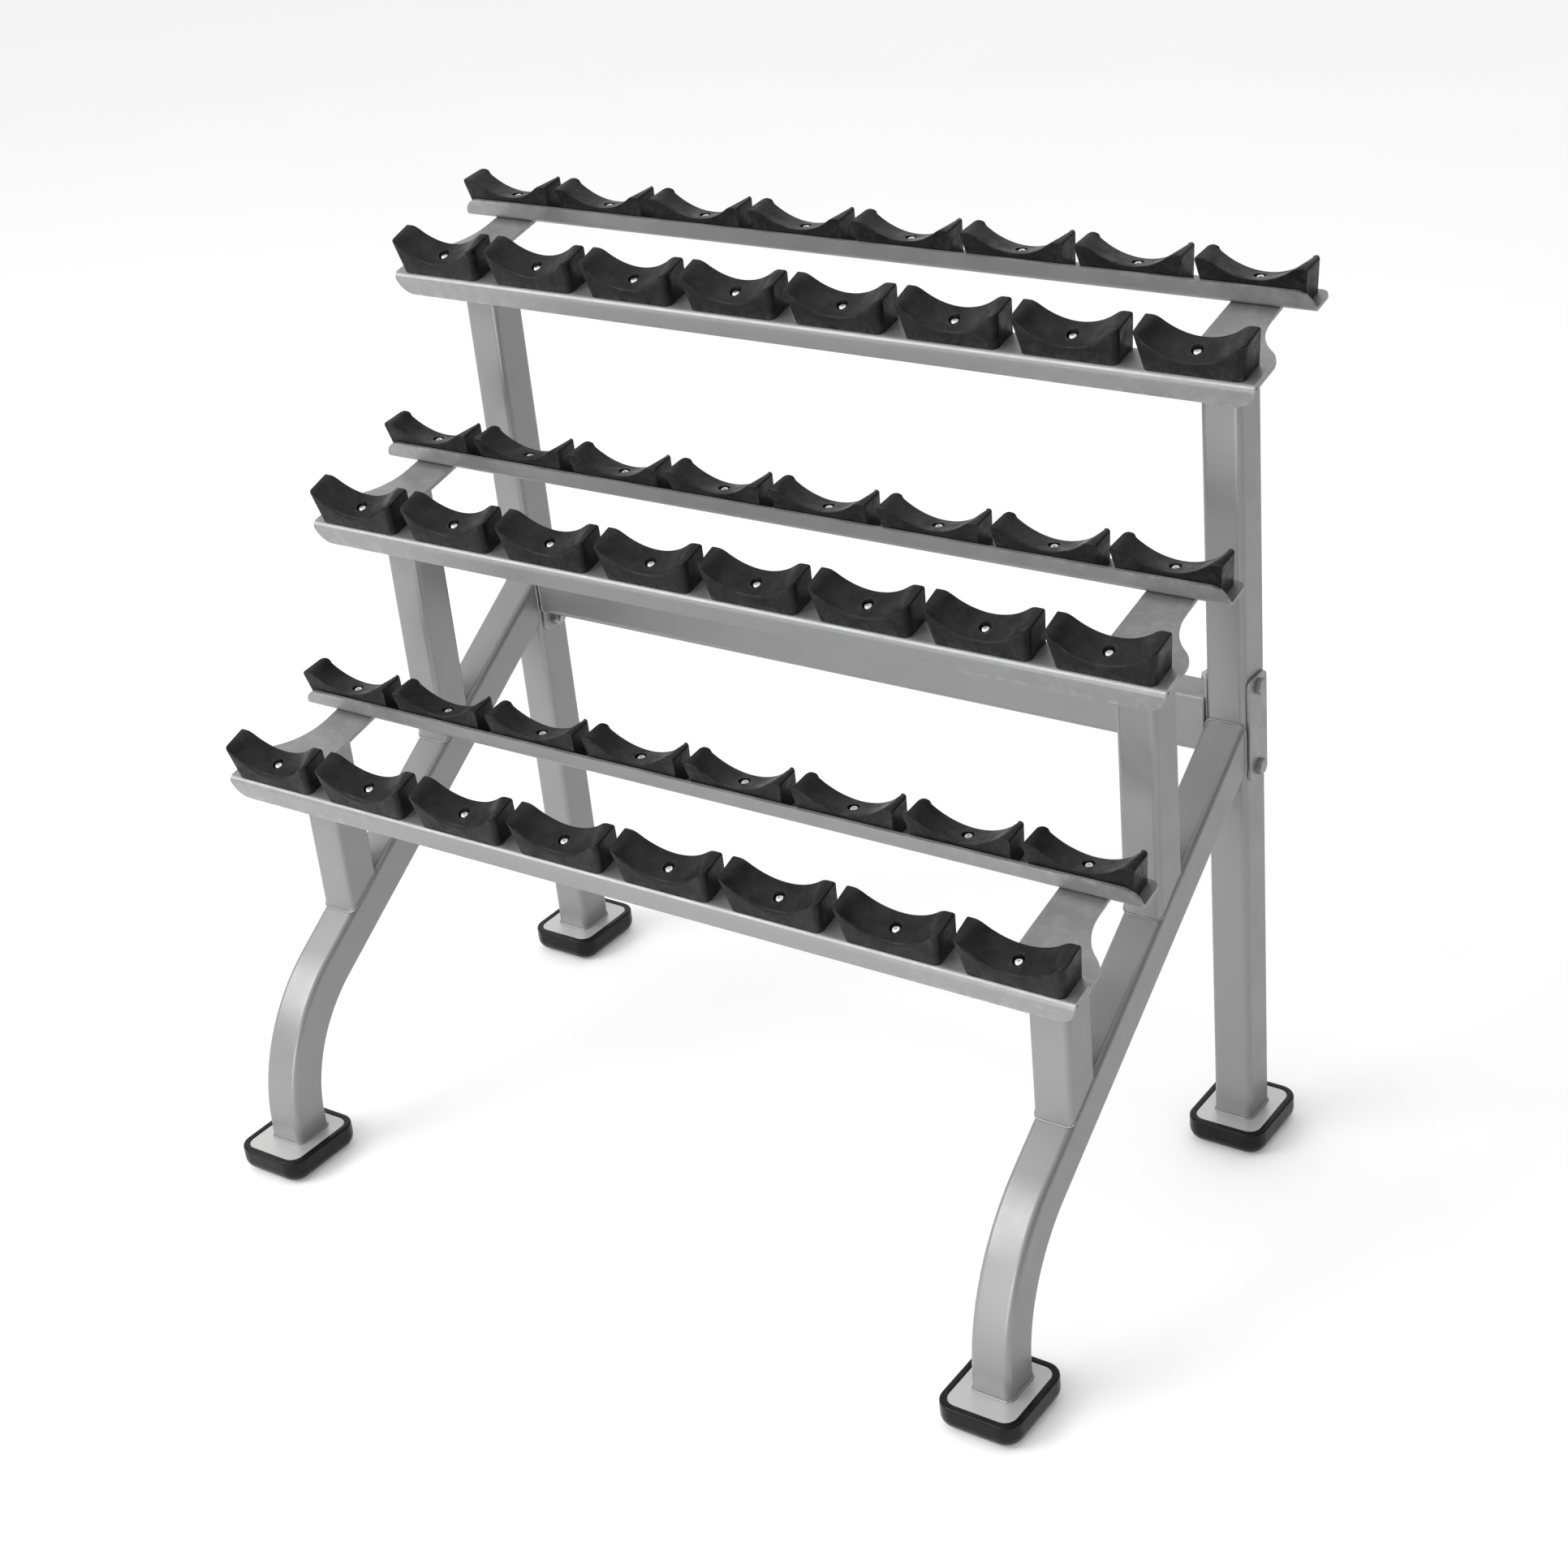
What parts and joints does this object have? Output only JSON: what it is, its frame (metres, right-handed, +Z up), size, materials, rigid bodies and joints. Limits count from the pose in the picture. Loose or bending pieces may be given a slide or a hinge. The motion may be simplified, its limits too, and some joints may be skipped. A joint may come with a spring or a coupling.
{
  "type": "dumbbell rack",
  "caption": "Free-standing tiered rack with tilted trays; each tray is a pair of folded steel rails carrying moulded saddles for the heads of dumbbells, on two bent-tube side frames.",
  "frame": {"origin": "on the floor under the middle of the whole rack, seen from above", "axes": "+Z up; +X along the rails towards the rack's right side as seen from its front; +Y from the front feet to the back"},
  "size_m": [1.197, 0.757, 1.1027],
  "materials": {
    "silver_paint": "satin silver-grey powder coat",
    "saddle_plastic": "black moulded plastic, low sheen",
    "boot_rubber": "smooth black rubber with a soft gloss",
    "bright_steel": "bright zinc-plated steel"
  },
  "bodies": {
    "root": {"left_rear_upright": "silver_paint", "right_rear_upright": "silver_paint", "left_front_leg": "silver_paint", "right_front_leg": "silver_paint", "left_middle_post": "silver_paint", "right_middle_post": "silver_paint", "left_lower_post": "silver_paint", "right_lower_post": "silver_paint", "left_top_arm": "silver_paint", "right_top_arm": "silver_paint", "left_middle_arm": "silver_paint", "right_middle_arm": "silver_paint", "left_lower_arm": "silver_paint", "right_lower_arm": "silver_paint", "left_front_foot_plate": "silver_paint", "right_front_foot_plate": "silver_paint", "left_rear_foot_plate": "silver_paint", "right_rear_foot_plate": "silver_paint", "left_front_boot": "boot_rubber", "right_front_boot": "boot_rubber", "left_rear_boot": "boot_rubber", "right_rear_boot": "boot_rubber", "cross_beam": "silver_paint", "left_beam_end_plate": "silver_paint", "right_beam_end_plate": "silver_paint", "left_clamp_plate": "silver_paint", "right_clamp_plate": "silver_paint", "beam_bolts": "silver_paint", "beam_nuts": "silver_paint", "top_front_rail": "silver_paint", "top_rear_rail": "silver_paint", "middle_front_rail": "silver_paint", "middle_rear_rail": "silver_paint", "lower_front_rail": "silver_paint", "lower_rear_rail": "silver_paint", "top_front_saddles": "saddle_plastic", "top_rear_saddles": "saddle_plastic", "middle_front_saddles": "saddle_plastic", "middle_rear_saddles": "saddle_plastic", "lower_front_saddles": "saddle_plastic", "lower_rear_saddles": "saddle_plastic", "top_saddle_screws": "bright_steel", "middle_saddle_screws": "bright_steel", "lower_saddle_screws": "bright_steel", "top_saddle_nuts": "bright_steel", "middle_saddle_nuts": "bright_steel", "lower_saddle_nuts": "bright_steel"}
  },
  "joints": []
}
